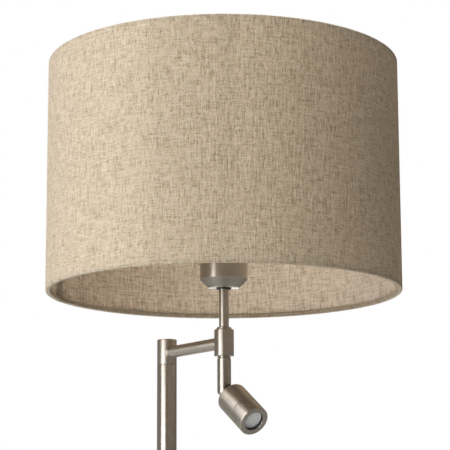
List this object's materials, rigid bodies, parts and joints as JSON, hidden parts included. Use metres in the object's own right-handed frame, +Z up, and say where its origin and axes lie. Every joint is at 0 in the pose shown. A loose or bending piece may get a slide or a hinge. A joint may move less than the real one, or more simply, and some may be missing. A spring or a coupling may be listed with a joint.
{
  "type": "pharmacy floor lamp",
  "caption": "Floor lamp with a linen drum shade on a short offset arm and a small swivelling reading spot under it.",
  "frame": {"origin": "on the floor, on the pole's axis, at the centre of the base pad's underside", "axes": "+Z up along the pole, +X along the arm from the pole to the shade's axis"},
  "size_m": [0.455, 0.4, 1.6],
  "materials": {
    "satin_nickel": "satin brushed nickel plate, fine grain along the tubes",
    "steel": "plain machined steel",
    "dark_steel": "blackened steel, dull",
    "brass": "machined brass",
    "cast_iron": "raw cast iron with a thin dark coat",
    "linen": "natural linen with slubs and small brown flecks",
    "shade_film": "translucent laminate with the same linen on its inner side",
    "rubber": "matt black rubber",
    "black_plastic": "black thermoplastic",
    "white_plastic": "white moulded plastic",
    "frosted_glass": "opal frosted glass",
    "lens": "frosted acrylic lens",
    "wire": "twin lead in a smooth sheath",
    "led_board": "white circuit board",
    "phosphor": "yellow light-emitting chip",
    "aluminium": "turned aluminium"
  },
  "bodies": {
    "stand": {"base_pad": "rubber", "base_weight": "cast_iron", "base_cover": "satin_nickel", "cord_gland": "rubber", "base_washer": "steel", "base_nut": "steel", "base_stud": "steel", "pole_foot_plug": "steel", "pole_foot_ring": "satin_nickel", "pole_lower": "satin_nickel", "pole_upper": "satin_nickel", "pole_coupler": "steel", "swivel_bush": "brass", "pole_wire": "wire"},
    "arm": {"pole_head": "satin_nickel", "swivel_spigot": "steel", "swivel_nut": "steel", "arm_tube": "satin_nickel", "arm_saddle_ring": "satin_nickel", "stem_collar": "satin_nickel", "arm_wire": "wire", "upper_stem": "satin_nickel", "cup_washer": "dark_steel", "socket_cup": "satin_nickel", "cup_nut": "steel", "lampholder_body": "black_plastic", "thread_sleeve": "brass", "centre_contact": "brass", "shade_rest_ring": "black_plastic", "shade_clamp_ring": "black_plastic", "bulb_cap": "steel", "bulb_globe": "frosted_glass", "shade_cover": "linen", "shade_liner": "shade_film", "shade_top_frame": "steel", "shade_bottom_ring": "steel"},
    "spot_stem": {"neck_ring": "satin_nickel", "swivel_nipple": "steel", "swivel_clip": "steel", "lower_stem": "satin_nickel", "pivot_pin": "steel", "stem_wire": "wire"},
    "spot_head": {"spot_tongue": "dark_steel", "tongue_nut": "steel", "spot_body": "satin_nickel", "spot_bezel": "satin_nickel", "spot_lens": "lens", "lens_holder": "white_plastic", "led_board": "led_board", "led_chip": "phosphor", "heat_sink": "aluminium"}
  },
  "joints": [
    {"name": "arm_swivel", "type": "hinge", "parent": "stand", "child": "arm", "pos_m": [0, 0, 1.266], "axis": [0, 0, 1], "range_deg": [-170, 170]},
    {"name": "spot_swivel", "type": "hinge", "parent": "arm", "child": "spot_stem", "pos_m": [0.112, 0, 1.2646], "axis": [0, 0, 1], "range_deg": [-170, 170]},
    {"name": "spot_tilt", "type": "hinge", "parent": "spot_stem", "child": "spot_head", "pos_m": [0.112, 0, 1.2283], "axis": [0, -1, 0], "range_deg": [-143.5, 36.5]}
  ]
}
